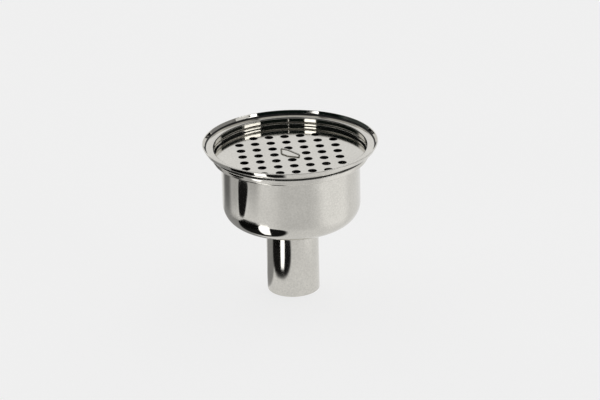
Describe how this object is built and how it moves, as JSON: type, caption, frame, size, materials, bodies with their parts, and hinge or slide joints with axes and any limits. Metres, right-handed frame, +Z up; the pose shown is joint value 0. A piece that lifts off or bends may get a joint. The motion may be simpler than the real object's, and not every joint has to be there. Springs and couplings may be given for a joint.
{
  "type": "floor drain",
  "caption": "Round stainless floor drain: upturned flange ring, stepped bowl, perforated lift-out strainer with a wire bow, bell trap and straight outlet tube.",
  "frame": {"origin": "centre of the outlet tube's lower end", "axes": "+Z up along the drain's axis, from the outlet to the strainer; X and Y along the strainer's rows of holes"},
  "size_m": [0.165, 0.165, 0.1501],
  "materials": {
    "polished_flange": "mirror-polished stainless steel",
    "polished_bowl": "mirror-polished stainless steel",
    "polished_tube": "mirror-polished stainless steel",
    "strainer_sheet": "bright rolled stainless sheet",
    "bow_wire": "bright drawn stainless wire",
    "trap_sheet": "drawn stainless sheet, satin"
  },
  "bodies": {
    "root": {"flange_ring": "polished_flange", "bowl": "polished_bowl", "outlet_tube": "polished_tube", "strainer_plate": "strainer_sheet", "lift_bow": "bow_wire", "trap_bell": "trap_sheet", "bell_fin_1": "trap_sheet", "bell_fin_2": "trap_sheet", "bell_fin_3": "trap_sheet"}
  },
  "joints": []
}
